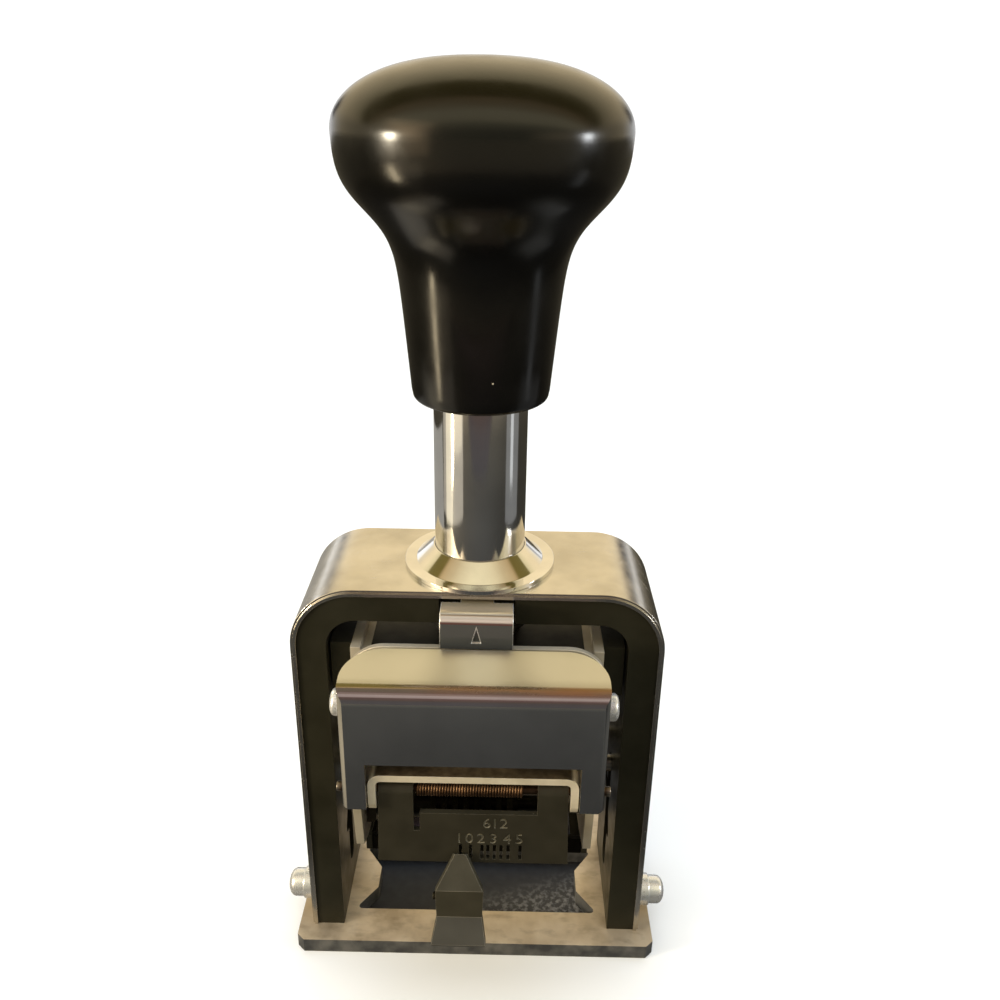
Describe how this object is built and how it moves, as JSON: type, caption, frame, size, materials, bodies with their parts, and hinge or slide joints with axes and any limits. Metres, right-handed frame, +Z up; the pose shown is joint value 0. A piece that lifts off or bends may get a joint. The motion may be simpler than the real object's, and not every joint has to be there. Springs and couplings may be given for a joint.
{
  "type": "automatic numbering stamp",
  "caption": "Hand numbering stamp: a mushroom knob slides on a column through a U frame and drives a hooded carriage of number wheels, a swinging ink pad and a repeat selector.",
  "frame": {"origin": "point on the paper, at the foot of the plunger's axis, where the middle of the printed line falls", "axes": "+Z up along the plunger's axis, +X to the user's right along the printed line, +Y to the back, away from the hood"},
  "size_m": [0.064, 0.0503, 0.1369],
  "materials": {
    "bakelite": "polished",
    "frame_black": "satin",
    "flap_black": "satin",
    "nickel": "worn satin",
    "chrome": "polished",
    "steel": "machined",
    "wheel_steel": "machined, inked",
    "brass": "machined",
    "copper_wire": "drawn",
    "felt": "ink soaked",
    "fibre": "pressed"
  },
  "bodies": {
    "frame": {"base_plate": "nickel", "frame": "frame_black", "frame_band": "nickel", "guide_collar": "chrome", "guide_column": "chrome", "column_bush": "brass", "column_nut": "steel", "side_screws": "chrome", "base_screws": "steel", "return_spring": "steel"},
    "lock": {"lock_clip": "chrome"},
    "carriage": {"knob": "bakelite", "knob_insert": "brass", "plunger_rod": "steel", "rod_nut": "steel", "stop_washer": "fibre", "yoke": "steel", "yoke_screws": "steel", "yoke_cheeks": "nickel", "guide_shoes": "frame_black", "side_plate_left": "nickel", "side_plate_right": "nickel", "front_plate": "nickel", "hood": "chrome", "hood_bar": "steel", "hood_screws": "chrome", "hinge_bracket": "nickel", "hinge_pin": "steel", "flap_spring": "copper_wire", "wheel_shaft": "steel", "shaft_spacers": "brass", "shaft_clips": "steel", "repeat_axle": "steel", "detent_comb": "steel"},
    "pad": {"pad_arm_left": "frame_black", "pad_arm_right": "frame_black", "pad_tray": "frame_black", "ink_pad": "felt", "follower_pins": "steel"},
    "feed": {"feed_arms": "steel", "feed_comb": "steel"},
    "flap": {"scale_flap": "flap_black"},
    "selector": {"selector_lever": "flap_black", "selector_pin": "steel"},
    "repeat": {"repeat_ratchet": "wheel_steel", "repeat_cam": "brass"},
    "wheel_1": {"number_wheel_1": "wheel_steel"},
    "wheel_2": {"number_wheel_2": "wheel_steel"},
    "wheel_3": {"number_wheel_3": "wheel_steel"},
    "wheel_4": {"number_wheel_4": "wheel_steel"},
    "wheel_5": {"number_wheel_5": "wheel_steel"},
    "wheel_6": {"number_wheel_6": "wheel_steel"}
  },
  "joints": [
    {"name": "plunger_slide", "type": "slide", "parent": "frame", "child": "carriage", "axis": [0, 0, -1], "range_m": [0, 0.02], "stiffness_N_per_m": 350, "springref_m": -0.012, "deforming": ["return_spring"]},
    {"name": "lock_slide", "type": "slide", "parent": "frame", "child": "lock", "axis": [0, 1, 0], "range_m": [0, 0.003]},
    {"name": "pad_swing", "type": "hinge", "parent": "carriage", "child": "pad", "pos_m": [0, 0, 0.0291], "axis": [1, 0, 0], "range_deg": [0, 105]},
    {"name": "feed_rock", "type": "hinge", "parent": "carriage", "child": "feed", "pos_m": [0, 0, 0.0291], "axis": [1, 0, 0], "range_deg": [0, 38]},
    {"name": "flap_hinge", "type": "hinge", "parent": "carriage", "child": "flap", "pos_m": [0, -0.0222, 0.0419], "axis": [-1, 0, 0], "range_deg": [0, 25], "stiffness_Nm_per_rad": 0.02, "springref_deg": -17.19},
    {"name": "selector_slide", "type": "slide", "parent": "flap", "child": "selector", "axis": [1, 0, 0], "range_m": [0, 0.0086]},
    {"name": "repeat_turn", "type": "hinge", "parent": "carriage", "child": "repeat", "pos_m": [0, -0.0174, 0.0352], "axis": [1, 0, 0], "continuous": true},
    {"name": "wheel_1_turn", "type": "hinge", "parent": "carriage", "child": "wheel_1", "pos_m": [0, 0, 0.0291], "axis": [1, 0, 0], "continuous": true},
    {"name": "wheel_2_turn", "type": "hinge", "parent": "carriage", "child": "wheel_2", "pos_m": [0, 0, 0.0291], "axis": [1, 0, 0], "continuous": true},
    {"name": "wheel_3_turn", "type": "hinge", "parent": "carriage", "child": "wheel_3", "pos_m": [0, 0, 0.0291], "axis": [1, 0, 0], "continuous": true},
    {"name": "wheel_4_turn", "type": "hinge", "parent": "carriage", "child": "wheel_4", "pos_m": [0, 0, 0.0291], "axis": [1, 0, 0], "continuous": true},
    {"name": "wheel_5_turn", "type": "hinge", "parent": "carriage", "child": "wheel_5", "pos_m": [0, 0, 0.0291], "axis": [1, 0, 0], "continuous": true},
    {"name": "wheel_6_turn", "type": "hinge", "parent": "carriage", "child": "wheel_6", "pos_m": [0, 0, 0.0291], "axis": [1, 0, 0], "continuous": true}
  ],
  "couplings": [
    {"joint": "pad_swing", "follows": "plunger_slide", "rad_per_m": 91.62},
    {"joint": "feed_rock", "follows": "plunger_slide", "rad_per_m": 33.16}
  ]
}
